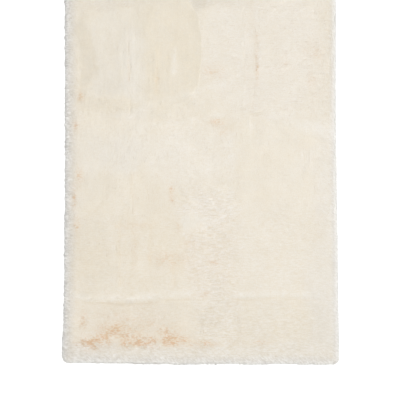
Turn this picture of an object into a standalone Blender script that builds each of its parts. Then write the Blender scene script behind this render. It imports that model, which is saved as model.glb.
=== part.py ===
"""A cream shag rug, 1.20 m wide and 1.70 m long, lying flat on the floor.

The rug is one length of pile cloth with plain cut edges, so it is one solid. Its underside is flat, its
sides are as full as the pile that falls over them, and its top is where the pile ends. The folds that it was
stored in still show there as four soft troughs.

X runs across the rug, Y along it and Z up. The origin is on the floor, under the rug's middle.
"""

import math
from typing import NamedTuple

import bmesh
import bpy
import numpy as np

WIDTH = 1.20
LENGTH = 1.70
PILE_TOP = 0.030  # from the floor to the ends of the pile
CORNER_RADIUS = 0.034
CORNER_STEPS = 5

SHOULDER = 0.020  # how far the pile rounds off along its upper edge
TUCK = 0.006  # how far it turns under, just above the floor
ROUNDING_STEPS = 4

STATION_STEP = 0.062  # between two lines of the top's grid, away from the creases
CREASE_REACH = 0.026  # from the bottom of a trough to its lip
RIPPLE = 0.0012  # the most that the top wanders up and down between the creases
RIPPLE_ACROSS = 0.41  # one ripple's length across the rug, and along it
RIPPLE_ALONG = 0.57

PILE_COLOUR = (0.82, 0.76, 0.66, 1.0)  # warm ivory
PILE_ROUGHNESS = 0.95
PILE_SHEEN = 0.25


class Crease(NamedTuple):
    """A fold mark: a trough that runs straight from one place on the rug to another."""

    from_x: float
    from_y: float
    to_x: float
    to_y: float
    depth: float


class SidePlace(NamedTuple):
    """How far the long edges stand in from the rug's widest line, at one place along it."""

    y: float
    left: float
    right: float


class EndPlace(NamedTuple):
    """How far the short edges stand in from the rug's longest line, at one place across it."""

    x: float
    near: float
    far: float


CREASES = (
    Crease(from_x=-0.335, from_y=0.800, to_x=-0.295, to_y=0.235, depth=0.0040),
    Crease(from_x=0.243, from_y=0.810, to_x=0.246, to_y=0.235, depth=0.0045),
    Crease(from_x=-0.500, from_y=0.222, to_x=0.560, to_y=0.242, depth=0.0030),
    Crease(from_x=-0.480, from_y=-0.574, to_x=0.510, to_y=-0.560, depth=0.0040),
)

SIDE_EDGES = (
    SidePlace(y=-0.850, left=0.001, right=0.001),
    SidePlace(y=-0.790, left=0.000, right=0.000),
    SidePlace(y=-0.700, left=0.007, right=0.003),
    SidePlace(y=-0.450, left=0.009, right=0.004),
    SidePlace(y=-0.150, left=0.011, right=0.006),
    SidePlace(y=0.150, left=0.009, right=0.008),
    SidePlace(y=0.500, left=0.007, right=0.006),
    SidePlace(y=0.790, left=0.003, right=0.002),
    SidePlace(y=0.850, left=0.002, right=0.003),
)

END_EDGES = (
    EndPlace(x=-0.600, near=0.005, far=0.003),
    EndPlace(x=-0.520, near=0.010, far=0.005),
    EndPlace(x=-0.300, near=0.005, far=0.004),
    EndPlace(x=-0.100, near=0.001, far=0.006),
    EndPlace(x=0.050, near=0.004, far=0.002),
    EndPlace(x=0.200, near=0.001, far=0.000),
    EndPlace(x=0.360, near=0.005, far=0.003),
    EndPlace(x=0.520, near=0.000, far=0.005),
    EndPlace(x=0.600, near=0.001, far=0.004),
)


def clear_scene():
    for thing in list(bpy.data.objects):
        bpy.data.objects.remove(thing, do_unlink=True)


def stations(span, crease_places):
    """Places for the grid's lines over the span: even ones, and five across each crease."""
    steps = round(span / STATION_STEP)
    even = np.linspace(-span / 2, span / 2, steps + 1)
    clear_of = CREASE_REACH + STATION_STEP / 3
    kept = [place for place in even if all(abs(place - crease) > clear_of for crease in crease_places)]
    across = np.linspace(-CREASE_REACH, CREASE_REACH, 5)
    return sorted(kept + [crease + step for crease in crease_places for step in across])


def trough(crease, x, y):
    """How deep the crease has pressed the pile at this place."""
    run_x, run_y = crease.to_x - crease.from_x, crease.to_y - crease.from_y
    share = ((x - crease.from_x) * run_x + (y - crease.from_y) * run_y) / (run_x**2 + run_y**2)
    share = min(max(share, 0.0), 1.0)
    away = math.hypot(x - crease.from_x - share * run_x, y - crease.from_y - share * run_y)
    if away >= CREASE_REACH:
        return 0.0
    return crease.depth * math.cos(math.pi / 2 * away / CREASE_REACH) ** 2


def pile_height(x, y):
    """The height of the pile's ends at this place."""
    ripple = math.sin(math.tau * x / RIPPLE_ACROSS) * math.cos(math.tau * y / RIPPLE_ALONG)
    sunk = max(trough(crease, x, y) for crease in CREASES)
    return PILE_TOP - RIPPLE * (1 - ripple) / 2 - sunk


def uneven_edge(x, y):
    """The place moved in with the nearest edges, fully at the edge and hardly in the middle."""
    side_y = [place.y for place in SIDE_EDGES]
    end_x = [place.x for place in END_EDGES]
    left = np.interp(y, side_y, [place.left for place in SIDE_EDGES])
    right = np.interp(y, side_y, [place.right for place in SIDE_EDGES])
    near = np.interp(x, end_x, [place.near for place in END_EDGES])
    far = np.interp(x, end_x, [place.far for place in END_EDGES])
    inward_x = left if x < 0 else -right
    inward_y = near if y < 0 else -far
    moved_x = x + inward_x * abs(2 * x / WIDTH) ** 3
    moved_y = y + inward_y * abs(2 * y / LENGTH) ** 3
    return moved_x, moved_y


def top_sheet(form):
    """The top of the pile as a grid with rounded corners, its lines closer together at the creases."""
    along_y = [crease for crease in CREASES if abs(crease.to_y - crease.from_y) > abs(crease.to_x - crease.from_x)]
    along_x = [crease for crease in CREASES if crease not in along_y]
    columns = stations(WIDTH, [(crease.from_x + crease.to_x) / 2 for crease in along_y])
    rows = stations(LENGTH, [(crease.from_y + crease.to_y) / 2 for crease in along_x])
    last_column, last_row = len(columns) - 1, len(rows) - 1
    bmesh.ops.create_grid(form, x_segments=last_column, y_segments=last_row, size=1.0)
    for point in form.verts:
        column = round((point.co.x + 1) / 2 * last_column)
        row = round((point.co.y + 1) / 2 * last_row)
        point.co = (columns[column], rows[row], 0.0)
    corners = [point for point in form.verts if len(point.link_edges) == 2]
    bmesh.ops.bevel(
        form, geom=corners, offset=CORNER_RADIUS, offset_type="OFFSET", segments=CORNER_STEPS,
        profile=0.5, affect="VERTICES",
    )
    for point in form.verts:
        x, y = uneven_edge(point.co.x, point.co.y)
        point.co = (x, y, pile_height(x, y))


def close_below(form):
    """Walls down to the floor and one flat underside, with each rim marked for its rounding."""
    rounding = form.edges.layers.float.new("bevel_weight_edge")
    upper_rim = [edge for edge in form.edges if edge.is_boundary]
    for edge in upper_rim:
        edge[rounding] = 1.0
    walls = bmesh.ops.extrude_edge_only(form, edges=upper_rim)["geom"]
    for point in walls:
        if isinstance(point, bmesh.types.BMVert):
            point.co.z = 0.0
    lower_rim = [edge for edge in form.edges if edge.is_boundary]
    for edge in lower_rim:
        edge[rounding] = TUCK / SHOULDER
    bmesh.ops.contextual_create(form, geom=lower_rim)
    bmesh.ops.recalc_face_normals(form, faces=form.faces)


def centre_on_origin(mesh):
    """Moves the rug so that its widest and longest lines are the same distance either side of the origin."""
    places = np.array([point.co for point in mesh.vertices])
    middle = (places.min(axis=0) + places.max(axis=0)) / 2
    for point in mesh.vertices:
        point.co.x -= middle[0]
        point.co.y -= middle[1]


def pile_material():
    material = bpy.data.materials.new("ivory_pile")
    material.use_nodes = True
    surface = material.node_tree.nodes["Principled BSDF"]
    surface.inputs["Base Color"].default_value = PILE_COLOUR
    surface.inputs["Roughness"].default_value = PILE_ROUGHNESS
    surface.inputs["Metallic"].default_value = 0.0
    surface.inputs["Sheen Weight"].default_value = PILE_SHEEN
    return material


def make_rug(collection):
    form = bmesh.new()
    top_sheet(form)
    close_below(form)
    mesh = bpy.data.meshes.new("rug")
    form.to_mesh(mesh)
    form.free()
    centre_on_origin(mesh)
    mesh.shade_smooth()
    mesh.materials.append(pile_material())
    rug = bpy.data.objects.new("rug", mesh)
    collection.objects.link(rug)
    rounded = rug.modifiers.new("rounded_rims", "BEVEL")
    rounded.limit_method = "WEIGHT"
    rounded.width = SHOULDER
    rounded.segments = ROUNDING_STEPS
    whole = rug.modifiers.new("underside", "TRIANGULATE")
    whole.ngon_method = "BEAUTY"
    whole.min_vertices = 5
    return rug


def main():
    clear_scene()
    collection = bpy.data.collections.new("shag_rug")
    bpy.context.scene.collection.children.link(collection)
    make_rug(collection)


main()
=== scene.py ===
"""A cream shag rug on a plain pale floor.

It has a ground cloth, a brushed pile over it and the fur that falls over its edges.
"""

import math
from typing import NamedTuple

import bpy
import numpy as np
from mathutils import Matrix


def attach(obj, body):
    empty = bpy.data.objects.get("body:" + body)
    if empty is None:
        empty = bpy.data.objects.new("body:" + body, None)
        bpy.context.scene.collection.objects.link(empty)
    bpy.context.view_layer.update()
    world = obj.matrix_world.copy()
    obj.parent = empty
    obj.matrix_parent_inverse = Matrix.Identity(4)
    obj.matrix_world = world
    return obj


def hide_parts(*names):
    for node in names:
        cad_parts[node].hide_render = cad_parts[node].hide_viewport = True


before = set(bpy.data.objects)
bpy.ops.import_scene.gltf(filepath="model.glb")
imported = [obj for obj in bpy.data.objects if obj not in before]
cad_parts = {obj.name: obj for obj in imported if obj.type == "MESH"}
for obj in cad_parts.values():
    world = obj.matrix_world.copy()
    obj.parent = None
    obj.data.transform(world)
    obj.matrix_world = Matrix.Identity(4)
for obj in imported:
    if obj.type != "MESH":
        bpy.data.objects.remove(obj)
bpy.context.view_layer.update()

bl_info = {
    "name": "Shag Rug",
    "version": (1, 0, 0),
    "blender": (4, 5, 0),
    "location": "View3D > Sidebar > Shag Rug",
    "description": "Builds a cream shag rug with a brushed pile and full edges",
    "category": "Add Mesh",
}

RUG_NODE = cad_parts["rug"]
BODY = "root"

CORNER_RADIUS = 0.034  # of the rug's outline, as its solid has it
SIDE_LOW = 0.005  # the solid's sides stand upright between these two heights
SIDE_HIGH = 0.011
ABOVE = 1.0  # a height that is clear of the rug
HEIGHT_STEP = 0.010  # between two places where the solid's top is measured
JUST_INSIDE = 1.001  # keeps a place at the end of a table inside its last cell
OUT_STEP = 0.002  # over this step the way out to the nearest edge is measured
UP = np.array([0.0, 0.0, 1.0])
TINY = 1e-9


class NapPatch(NamedTuple):
    """A stretch of pile that was last stroked one way, with its middle and its reach in metres."""

    x: float
    y: float
    reach_x: float
    reach_y: float
    square: float  # 1 for an oval, and more for a squarer patch
    soft: float  # the width of its border, as a share of its reach
    heading: float  # the way that the pile lies, in degrees from +X
    lie: float  # how far it lies over, against the usual
    tone: float  # lighter above nought, deeper below it: partly the pile's own tone, partly painted light and shade from the way the stroked pile lies against the light
    warmth: float  # tan above nought, cool below it
    comb: float  # 1 for locks in rows across the rug, -1 for locks in columns along it


class PileLine(NamedTuple):
    """A line in the pile, where a fold or a fingertip has parted it, sunk it or left it standing."""

    from_x: float
    from_y: float
    to_x: float
    to_y: float
    reach: float
    depth: float  # how far the pile is sunk, or raised below nought
    # tone: painted shade along a sunk line and painted light along a raised one
    tone: float
    warmth: float


class BarePatch(NamedTuple):
    """A spot where the pile has opened, so that its peach roots show."""

    x: float
    y: float
    reach_x: float
    reach_y: float
    strength: float


class LockSize(NamedTuple):
    """The room that one lock of pile takes up, and how its wisps lean to its middle."""

    across: float
    along: float
    lean_across: float
    lean_along: float
    wander: float  # how far its borders wander
    seed: int


class Bumps(NamedTuple):
    """Smooth random bumps over the rug: how strong and how big they are, and their own draw."""

    strength: float
    across: float
    along: float
    seed: int


class RoundEdge(NamedTuple):
    """A number that differs round the rug: at the far edge, and what the right and the near one add."""

    far: float
    right: float  # the left edge takes this away
    near: float

    def at(self, out):
        """Its value at each place, from the way to the nearest edge."""
        return self.far + self.right * out[:, 0] + self.near * np.clip(-out[:, 1], 0.0, 1.0)


class Grain(NamedTuple):
    """One use of the fibre grain: its size, its stretch and its turn in radians."""

    size: float
    stretch: tuple
    turn: float = 0.0


NAP_PATCHES = [NapPatch(*row) for row in (
    # x, y, reach_x, reach_y, square, soft, heading, lie, tone, warmth, comb
    (0.275, 0.510, 0.265, 0.260, 1.5, 0.25, 200, 0.90, 0.33, 0.04, 0.24),  # far right
    (-0.175, 0.730, 0.378, 0.030, 1.5, 0.60, -150, 0.90, -0.17, -0.12, 0.50),
    (-0.190, 0.500, 0.145, 0.235, 1.3, 0.30, -92, 1.25, -0.76, -0.21, -0.10),  # the tan stroke
    (-0.118, 0.525, 0.125, 0.238, 1.15, 0.04, -92, 1.35, -0.72, -0.18, -0.10),
    (-0.393, 0.467, 0.082, 0.240, 1.6, 0.22, -86, 1.20, -0.40, -0.24, -0.20),
    (-0.290, 0.445, 0.044, 0.215, 1.4, 0.70, -88, 1.15, -0.14, -0.24, -0.20),
    (-0.499, 0.503, 0.035, 0.182, 1.4, 0.35, -95, 1.10, -0.73, -0.19, -0.15),
    (-0.393, 0.280, 0.131, 0.038, 1.2, 0.50, -100, 1.00, -0.37, -0.08, 0.20),
    (-0.371, 0.078, 0.153, 0.082, 1.1, 0.80, -88, 1.00, 0.03, -0.16, -0.15),  # left of the middle
    (-0.436, -0.075, 0.073, 0.076, 1.0, 0.45, -80, 1.00, -0.27, -0.06, 0.00),
    (-0.240, -0.072, 0.061, 0.087, 1.0, 0.45, -100, 1.00, -0.16, 0.03, 0.10),
    (-0.029, 0.059, 0.175, 0.131, 1.2, 0.45, -105, 0.95, 0.26, 0.01, 0.25),  # the middle
    (0.364, 0.001, 0.214, 0.204, 1.6, 0.18, -88, 1.05, -0.10, -0.04, 0.10),  # right of the middle
    (0.454, 0.045, 0.041, 0.049, 1.0, 0.50, -80, 1.00, 0.04, -0.03, -0.40),
    (0.349, -0.363, 0.214, 0.189, 1.4, 0.45, -70, 0.95, 0.18, 0.01, 0.50),  # near right
    (0.349, -0.712, 0.218, 0.126, 1.3, 0.55, -50, 0.95, -0.11, -0.08, 0.70),
    (0.531, -0.600, 0.060, 0.230, 1.3, 0.80, -40, 0.85, 0.15, -0.24, 0.40),
    (0.556, -0.150, 0.055, 0.380, 1.6, 0.60, -40, 0.90, 0.29, -0.12, 0.30),  # down the right side
    (-0.466, -0.363, 0.080, 0.189, 1.4, 0.45, -85, 1.00, -0.44, -0.05, 0.36),  # near left
    (-0.225, -0.370, 0.153, 0.182, 1.5, 0.35, -80, 1.00, -0.24, 0.03, 0.40),
    (-0.320, -0.639, 0.218, 0.073, 1.4, 0.50, -90, 0.90, -0.04, 0.12, 0.55),
    (0.029, -0.188, 0.114, 0.102, 1.1, 0.50, -110, 0.85, 0.61, 0.19, 1.00),  # the combed strip
    (0.044, -0.406, 0.109, 0.175, 1.2, 0.45, -105, 0.85, 0.38, 0.28, 1.00),
    (0.073, -0.683, 0.087, 0.160, 1.2, 0.45, -100, 0.85, 0.04, 0.01, 1.00),
    (-0.036, -0.224, 0.049, 0.038, 1.0, 0.50, -95, 1.10, 0.10, -0.12, 0.00),
    (0.060, -0.790, 0.540, 0.042, 1.6, 0.50, -70, 0.85, 0.18, -0.14, 0.80),  # along the near edge
    (-0.495, -0.799, 0.116, 0.051, 1.2, 0.50, -60, 0.80, 0.30, -0.18, 0.70),
)]

PILE_LINES = [PileLine(*row) for row in (
    # from_x, from_y, to_x, to_y, reach, depth, tone, warmth
    (-0.317, 0.656, -0.311, 0.467, 0.006, 0.0013, -0.20, 0.05),  # beside the tan stroke
    (-0.311, 0.467, -0.301, 0.241, 0.006, 0.0014, -0.22, 0.05),
    (-0.297, 0.627, -0.292, 0.481, 0.007, -0.0008, 0.12, -0.02),
    (-0.112, 0.530, -0.116, 0.418, 0.010, -0.0016, 1.50, -0.20),
    (-0.186, 0.539, -0.192, 0.328, 0.011, 0.0010, -0.15, 0.24),
    (0.230, 0.743, 0.244, 0.583, 0.007, 0.0011, -0.15, 0.10),  # the far fold
    (0.244, 0.583, 0.247, 0.358, 0.007, 0.0006, -0.10, 0.35),
    (0.247, 0.358, 0.227, 0.241, 0.007, 0.0012, -0.15, 0.05),
    (0.262, 0.680, 0.264, 0.380, 0.010, -0.0010, 0.20, -0.03),
    (0.196, 0.743, 0.193, 0.263, 0.007, 0.0015, -0.12, 0.00),
    (-0.320, 0.231, -0.175, 0.299, 0.016, -0.0016, 0.50, -0.05),  # across the far half
    (-0.175, 0.299, -0.015, 0.339, 0.016, -0.0018, 0.60, -0.05),
    (-0.015, 0.344, 0.116, 0.368, 0.016, -0.0016, 0.50, -0.05),
    (-0.269, 0.179, -0.015, 0.216, 0.016, -0.0016, 0.50, -0.05),
    (-0.015, 0.216, 0.102, 0.231, 0.015, -0.0014, 0.40, -0.05),
    (0.201, 0.237, 0.276, 0.243, 0.008, 0.0040, -0.55, 0.00),
    (0.291, 0.241, 0.429, 0.197, 0.030, -0.0022, 0.85, -0.14),
    (0.429, 0.197, 0.575, 0.150, 0.030, -0.0022, 0.85, -0.14),
    (0.305, 0.206, 0.429, 0.155, 0.011, 0.0012, -0.20, 0.08),
    (0.429, 0.155, 0.575, 0.094, 0.011, 0.0012, -0.20, 0.08),
    (0.204, 0.234, 0.212, 0.147, 0.008, -0.0015, 0.45, -0.07),
    (0.132, 0.161, 0.132, -0.203, 0.018, -0.0012, 0.55, -0.05),  # beside the middle
    (0.112, 0.190, 0.115, -0.130, 0.009, 0.0006, -0.08, 0.00),
    (0.436, 0.081, 0.451, -0.006, 0.008, -0.0010, 0.25, -0.03),
    (0.473, 0.088, 0.466, 0.016, 0.008, -0.0010, 0.25, -0.03),
    (-0.297, -0.013, -0.291, -0.275, 0.007, 0.0010, -0.15, 0.32),  # in the near left
    (-0.352, -0.217, -0.346, -0.508, 0.007, 0.0010, -0.15, 0.36),
    (-0.211, -0.217, -0.218, -0.421, 0.007, 0.0010, -0.15, 0.32),
    (-0.116, -0.363, -0.113, -0.508, 0.007, 0.0010, -0.15, 0.32),
    (-0.378, -0.251, -0.218, -0.235, 0.009, 0.0010, -0.15, 0.32),
    (-0.364, -0.363, -0.175, -0.384, 0.009, 0.0010, -0.12, 0.24),
    (-0.531, -0.188, -0.378, -0.210, 0.010, -0.0015, 0.30, -0.03),
    (-0.095, -0.115, 0.029, -0.152, 0.007, 0.0025, -0.35, 0.00),
    (-0.538, -0.546, -0.305, -0.553, 0.014, -0.0033, 0.80, -0.06),  # the near fold's lip
    (-0.305, -0.553, -0.015, -0.522, 0.014, -0.0033, 0.85, -0.06),
    (0.138, -0.538, 0.349, -0.529, 0.014, -0.0030, 0.70, -0.06),
    (0.349, -0.529, 0.495, -0.541, 0.014, -0.0026, 0.55, -0.05),
    (-0.538, -0.571, -0.291, -0.580, 0.010, 0.0026, -0.52, 0.16),  # the near fold
    (-0.291, -0.580, -0.029, -0.552, 0.010, 0.0028, -0.54, 0.16),
    (0.138, -0.560, 0.349, -0.552, 0.009, 0.0028, -0.45, 0.10),
    (0.349, -0.552, 0.509, -0.566, 0.009, 0.0020, -0.20, 0.06),
)]

BARE_PATCHES = [BarePatch(*row) for row in (
    # x, y, reach_x, reach_y, strength
    (-0.466, -0.747, 0.056, 0.030, 1.00),  # the near left corner
    (-0.501, -0.665, 0.022, 0.055, 0.36),
    (-0.362, -0.696, 0.090, 0.030, 0.62),
    (-0.420, -0.735, 0.045, 0.030, 0.72),
    (-0.330, -0.722, 0.050, 0.018, 0.60),
    (-0.262, -0.744, 0.095, 0.026, 0.80),
    (-0.138, -0.704, 0.055, 0.022, 0.60),
    (-0.118, -0.742, 0.072, 0.023, 0.78),
    (-0.300, -0.680, 0.190, 0.066, 0.22),
    (-0.020, -0.755, 0.075, 0.017, 0.58),
    (-0.520, 0.307, 0.018, 0.024, 0.38),  # down the left edge
    (-0.540, 0.180, 0.017, 0.024, 0.32),
    (-0.523, -0.040, 0.016, 0.045, 0.36),
    (-0.546, -0.130, 0.012, 0.060, 0.34),
    (-0.532, -0.246, 0.015, 0.050, 0.34),
    (0.060, 0.416, 0.050, 0.036, 0.22),  # the far half
    (0.072, 0.198, 0.034, 0.016, 0.45),
    (0.100, 0.160, 0.030, 0.030, 0.16),
    (0.020, 0.190, 0.045, 0.012, 0.22),
    (0.244, 0.561, 0.010, 0.026, 0.40),
    (0.245, 0.440, 0.007, 0.085, 0.40),
    (0.364, 0.460, 0.016, 0.030, 0.20),
    (0.490, 0.500, 0.040, 0.045, 0.20),
    (0.485, 0.375, 0.030, 0.055, 0.16),
    (-0.189, 0.370, 0.012, 0.060, 0.20),
    (-0.124, -0.112, 0.014, 0.036, 0.50),  # the near half
    (-0.095, -0.245, 0.016, 0.036, 0.20),
    (-0.284, -0.248, 0.090, 0.020, 0.16),
    (-0.285, -0.330, 0.014, 0.130, 0.16),
    (-0.140, -0.395, 0.080, 0.045, 0.24),
    (-0.080, -0.399, 0.032, 0.020, 0.26),
    (0.051, -0.406, 0.022, 0.012, 0.40),
    (-0.045, -0.320, 0.034, 0.030, 0.26),
    (0.015, -0.544, 0.024, 0.015, 0.28),
    (0.262, -0.750, 0.036, 0.009, 0.48),
    (-0.311, 0.450, 0.008, 0.130, 0.16),
)]

# across, along, lean_across, lean_along, wander, seed
FINE_LOCKS = LockSize(0.008, 0.011, 0.6, 0.3, 0.006, 11)
ROW_LOCKS = LockSize(0.030, 0.0085, 0.05, 1.0, 0.012, 12)
COLUMN_LOCKS = LockSize(0.0085, 0.040, 0.4, 0.03, 0.006, 13)
TUFT_LOCKS = LockSize(0.019, 0.019, 0.8, 0.8, 0.016, 14)


# -------- Settings --------


def length_setting(name, description, metres):
    return bpy.props.FloatProperty(name=name, description=description, default=metres, unit="LENGTH")


def colour_setting(name, description, rgb):
    return bpy.props.FloatVectorProperty(name=name, description=description, default=rgb, subtype="COLOR")


class RugPileSettings(bpy.types.PropertyGroup):
    """The sizes and colours of the pile."""

    spacing: length_setting("Spacing", "Room between two roots", 0.0029)
    crowd: length_setting("Edge spacing", "Room between two roots along the edges", 0.0018)
    rise: length_setting("Rise", "How far the pile stands above the crowded roots", 0.0075)
    sweep: length_setting("Sweep", "How far the brushed pile lies over", 0.0150)
    width: length_setting("Wisp width", "Width of one wisp of pile at its root", 0.0029)
    gather: bpy.props.FloatProperty(
        name="Gather", description="How far a lock's wisps lean together", default=0.35, subtype="FACTOR",
    )
    light: colour_setting("Light", "Colour of the pile's ends", (0.888, 0.891, 0.880))
    # the tint that deeper tone turns to, the pile's own and its painted shade alike
    deep: colour_setting("Deep", "Tint of the deepest pile", (0.88, 0.83, 0.72))
    tan: colour_setting("Tan", "Warmer colour of stroked pile", (0.86, 0.78, 0.66))
    cool: colour_setting("Cool", "Colour of the fur along the edges", (0.888, 0.887, 0.882))
    # painted shade: the tint that the edge fur darkens to, most at the rim
    edge_shade: colour_setting("Edge_Shade", "Tint of the deepest fur along the edges", (0.625, 0.62, 0.62))
    root: colour_setting("Root", "Peach colour of the roots", (0.71, 0.49, 0.28))


class RugClothSettings(bpy.types.PropertyGroup):
    """The sizes and colour of the cloth that the pile grows from."""

    thickness: length_setting("Thickness", "Thickness of the ground cloth", 0.002)
    margin: length_setting("Margin", "How far the pile reaches past the cloth's cut edge", 0.012)
    colour: colour_setting("Colour", "Colour of the knitted back", (0.72, 0.68, 0.60))


class RugStageSettings(bpy.types.PropertyGroup):
    """The floor, the light and the camera."""

    floor: colour_setting("Floor", "Colour of the floor", (0.85, 0.85, 0.85))
    sky: bpy.props.FloatProperty(name="Sky", description="Strength of the light all round", default=1.70)
    softbox: bpy.props.FloatProperty(
        name="Softbox", description="Power of the soft light overhead", default=60.0, unit="POWER",
    )
    height: length_setting("Camera distance", "From the camera to the rug", 2.42)
    tilt: bpy.props.FloatProperty(
        name="Camera tilt", description="How far the camera looks up the rug", default=math.radians(1.65),
        subtype="ANGLE",
    )


# -------- Numbers over the rug --------

NOISE_CELLS = 256  # each way in a table of random numbers


def smooth(value, start, end):
    """0 before start, 1 after end, and a smooth step between them."""
    share = np.clip((value - start) / (end - start), 0.0, 1.0)
    return share * share * (3 - 2 * share)


def between(table, row, next_row, column, next_column, u, v):
    """The number between four neighbours in a table, u of the way across them and v of the way up."""
    lower = table[row, column] * (1 - u) + table[row, next_column] * u
    upper = table[next_row, column] * (1 - u) + table[next_row, next_column] * u
    return lower * (1 - v) + upper * v


def bumps(x, y, *kinds):
    """The sum of these kinds of bumps at every place, each from minus its strength to its strength."""
    total = 0.0
    for kind in kinds:
        table = np.random.default_rng(kind.seed).uniform(-1.0, 1.0, (NOISE_CELLS, NOISE_CELLS))
        u, v = x / kind.across, y / kind.along
        column, row = np.floor(u).astype(int), np.floor(v).astype(int)
        cells = (number % NOISE_CELLS for number in (row, row + 1, column, column + 1))
        height = between(table, *cells, smooth(u - column, 0.0, 1.0), smooth(v - row, 0.0, 1.0))
        total = total + kind.strength * height
    return total


def unit(vectors):
    length = np.linalg.norm(vectors, axis=-1, keepdims=True)
    return vectors / np.maximum(length, TINY)


def mesh_places(thing):
    """The places of a mesh's points, one row each."""
    places = np.empty(len(thing.data.vertices) * 3, np.float32)
    thing.data.vertices.foreach_get("co", places)
    return places.reshape(-1, 3).astype(float)


class RugForm:
    """The rug's edges and the height of its pile, read from the frame's solid."""

    def __init__(self, node):
        places = mesh_places(node)
        self.low, self.high = places.min(axis=0), places.max(axis=0)
        sides = places[(places[:, 2] > SIDE_LOW) & (places[:, 2] < SIDE_HIGH)]
        self.left, self.right = (self.edge(sides, 0, side) for side in (-1, 1))
        self.near, self.far = (self.edge(sides, 1, side) for side in (-1, 1))
        self.columns = np.arange(self.low[0], self.high[0] + HEIGHT_STEP, HEIGHT_STEP)
        self.rows = np.arange(self.low[1], self.high[1] + HEIGHT_STEP, HEIGHT_STEP)
        self.heights = np.array([[self.measured(node, x, y) for x in self.columns] for y in self.rows])

    def edge(self, sides, across, side):
        """The straight part of one edge: places along it, and how far out it runs at each."""
        along = 1 - across
        straight = np.abs(sides[:, along]) < self.high[along] - CORNER_RADIUS
        points = sides[straight & (side * sides[:, across] > 0)]
        points = points[np.argsort(points[:, along])]
        return points[:, along], points[:, across]

    def measured(self, node, x, y):
        """The height of the solid's top at one place. Past its rounded edge it counts as whole."""
        held = np.clip((x, y), self.low[:2] + CORNER_RADIUS, self.high[:2] - CORNER_RADIUS)
        found, place, _, _ = node.ray_cast((*held, ABOVE), -UP)
        return place.z if found else self.high[2]

    def inset(self, x, y):
        """How far in from the rug's outline each place is."""
        across = np.minimum(x - np.interp(y, *self.left), np.interp(y, *self.right) - x)
        along = np.minimum(y - np.interp(x, *self.near), np.interp(x, *self.far) - y)
        in_corner = (across < CORNER_RADIUS) & (along < CORNER_RADIUS)
        corner = CORNER_RADIUS - np.hypot(CORNER_RADIUS - across, CORNER_RADIUS - along)
        return np.where(in_corner, corner, np.minimum(across, along))

    def outward(self, x, y):
        """The way to the nearest edge from each place."""
        slope_x = self.inset(x - OUT_STEP, y) - self.inset(x + OUT_STEP, y)
        slope_y = self.inset(x, y - OUT_STEP) - self.inset(x, y + OUT_STEP)
        return unit(np.stack([slope_x, slope_y, np.zeros_like(x)], axis=-1))

    def top(self, x, y):
        """The height of the pile's ends over each place."""
        u = np.clip((x - self.columns[0]) / HEIGHT_STEP, 0, len(self.columns) - JUST_INSIDE)
        v = np.clip((y - self.rows[0]) / HEIGHT_STEP, 0, len(self.rows) - JUST_INSIDE)
        column, row = u.astype(int), v.astype(int)
        return between(self.heights, row, row + 1, column, column + 1, u - column, v - row)


# -------- How the pile lies --------

# Each kind of bumps has its strength, its size across and along the rug, and its own draw.
BORDER_ACROSS = (Bumps(0.020, 0.05, 0.07, 21), Bumps(0.008, 0.015, 0.02, 22))  # a patch's ragged border
BORDER_ALONG = (Bumps(0.020, 0.07, 0.05, 23), Bumps(0.008, 0.02, 0.015, 24))
STRAY = (Bumps(0.16, 0.060, 0.080, 25), Bumps(0.10, 0.022, 0.022, 26))  # from the way that it was stroked
CLOUDS = (Bumps(0.09, 0.10, 0.13, 27), Bumps(0.09, 0.035, 0.045, 28))  # in tone
WARM_CLOUDS = (Bumps(0.04, 0.08, 0.06, 31), Bumps(0.03, 0.014, 0.012, 32))
# painted light and shade between locks laid in rows and in columns
ROW_PAINTED_SHADE = Bumps(1.0, 0.020, 0.0050, 29)
COLUMN_PAINTED_SHADE = Bumps(1.0, 0.0085, 0.075, 30)
BARE_TONE = Bumps(0.8, 0.018, 0.010, 49)
LUMPS = (Bumps(0.0007, 0.055, 0.045, 41), Bumps(0.0002, 0.014, 0.012, 42))  # in height
ROW_WAVES = Bumps(0.0004, 0.022, 0.0055, 43)
COLUMN_WAVES = Bumps(0.00015, 0.009, 0.060, 44)
LINE_SHIFT = Bumps(0.005, 0.045, 0.045, 33)  # how a line wanders
LINE_BREAK = Bumps(0.24, 0.03, 0.03, 34)  # how unevenly it shows
OPENING = (Bumps(0.6, 0.030, 0.018, 35), Bumps(0.4, 0.012, 0.008, 36))  # round a bare patch
WILD_LUMPS = Bumps(0.0022, 0.032, 0.028, 45)  # of the tousled fur near the edges
WILD_TONE = Bumps(0.40, 0.034, 0.030, 47)
WILD_TURN = (Bumps(0.45, 0.026, 0.022, 37), Bumps(0.6, 0.06, 0.05, 38))
WILD_RISE = Bumps(0.40, 0.050, 0.050, 46)
WILD_SWEEP = Bumps(0.35, 0.060, 0.060, 48)

USUAL_PILE = dict(heading=-88.0, lie=1.0, comb=0.22, tone=-0.08, warmth=0.0)  # where no patch is
RAGGED_SOFT = 0.30  # a patch at least this soft has a fully ragged border
ANY_CHANGE = 0.04  # how much painted light and shade between locks changes the tone in rows and in columns wherever the pile lies
ROW_CHANGE = 0.20  # what combing in rows adds to that
COLUMN_CHANGE = 0.10
WAVE_STEP = 0.0012  # over this step the slope of the pile is measured

LINE_SHOWS = 0.36  # how much of a line's depth, tone and warmth shows on average
LINE_END = 0.015  # a line fades out this far before and after its ends
PARTING = 70  # how strongly a sunk line pushes the pile aside, for each metre of depth
PARTING_WIDTH = 0.4  # how far out it does so, as a share of the line's reach

EDGE_TURN = 0.060  # how far in from the edge the fur turns to fall over it
TURNED_FULLY = 0.012  # how far in it has done so
MOST_TURNED = 0.85  # how far it then points outwards
RIGHT_BRUSHED = 0.55  # how much of that turn is brushed back along the right edge
WILD = RoundEdge(0.5, -0.4, 0.0)  # how tousled turned fur is
SLANT_FULL = 0.02  # how far in from the edge the streaks of painted light and shade slant, at their strongest
SLANT_END = 0.09  # how far in they end
SIDE_EVEN = 0.45  # how much weaker they are along the sides

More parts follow.
